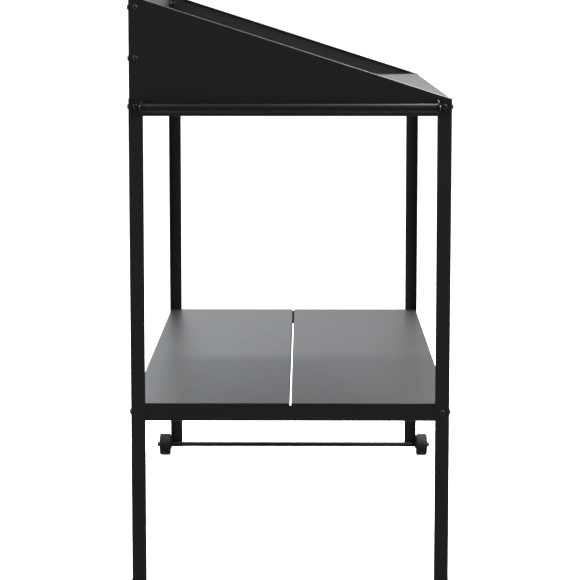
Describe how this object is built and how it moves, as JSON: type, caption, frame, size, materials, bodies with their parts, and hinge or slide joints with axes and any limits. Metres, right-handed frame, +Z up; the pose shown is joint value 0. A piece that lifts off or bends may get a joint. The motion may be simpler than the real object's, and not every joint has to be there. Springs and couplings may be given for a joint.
{
  "type": "work table",
  "caption": "Sheet-steel work table with a walled worktop, tall at the rear and sloping to an open front, a tray shelf, a push handle and wheels at the other end.",
  "frame": {"origin": "on the floor, under the middle of the whole outline", "axes": "+Z up; +X from the push handle to the wheels, the longest way; -Y the open front, +Y the tall rear wall"},
  "size_m": [1.2634, 0.6132, 1.03],
  "materials": {
    "frame_paint": "satin black powder coat",
    "sheet_paint": "satin black powder coat",
    "handle_paint": "semi-gloss black powder coat",
    "axle_paint": "satin black",
    "dark_fasteners": "black zinc",
    "plain_steel": "zinc plated",
    "hub_plastic": "moulded black",
    "shoe_plastic": "moulded black",
    "tyre_rubber": "dull black"
  },
  "bodies": {
    "table": {"post_handle_front": "frame_paint", "post_handle_rear": "frame_paint", "post_wheel_front": "frame_paint", "post_wheel_rear": "frame_paint", "shelf_rail_handle_end": "frame_paint", "shelf_rail_wheel_end": "frame_paint", "corner_bracket_handle_end": "frame_paint", "corner_bracket_wheel_end": "frame_paint", "foot_shoe_front": "shoe_plastic", "foot_shoe_rear": "shoe_plastic", "side_wall_handle_end": "sheet_paint", "side_wall_wheel_end": "sheet_paint", "rear_wall": "sheet_paint", "worktop_panel_front": "sheet_paint", "worktop_panel_rear": "sheet_paint", "shelf_panel_front": "sheet_paint", "shelf_panel_rear": "sheet_paint", "handle_bracket_front": "handle_paint", "handle_bracket_rear": "handle_paint", "handle_tube": "handle_paint", "handle_inserts": "plain_steel", "handle_screws": "dark_fasteners", "handle_bracket_bolts": "dark_fasteners", "wall_bolts": "dark_fasteners", "wall_nuts": "dark_fasteners", "worktop_bolts": "dark_fasteners", "worktop_nuts": "dark_fasteners", "shelf_bolts": "dark_fasteners", "shelf_nuts": "dark_fasteners", "wheel_axle": "axle_paint", "axle_sleeve": "axle_paint", "axle_washers": "dark_fasteners", "axle_caps": "dark_fasteners"},
    "wheel_front": {"wheel_hub_front": "hub_plastic", "wheel_tyre_front": "tyre_rubber"},
    "wheel_rear": {"wheel_hub_rear": "hub_plastic", "wheel_tyre_rear": "tyre_rubber"}
  },
  "joints": [
    {"name": "wheel_front_spin", "type": "hinge", "parent": "table", "child": "wheel_front", "pos_m": [0.60775, -0.2884, 0.024], "axis": [0, 1, 0], "continuous": true},
    {"name": "wheel_rear_spin", "type": "hinge", "parent": "table", "child": "wheel_rear", "pos_m": [0.60775, 0.2884, 0.024], "axis": [0, 1, 0], "continuous": true}
  ]
}
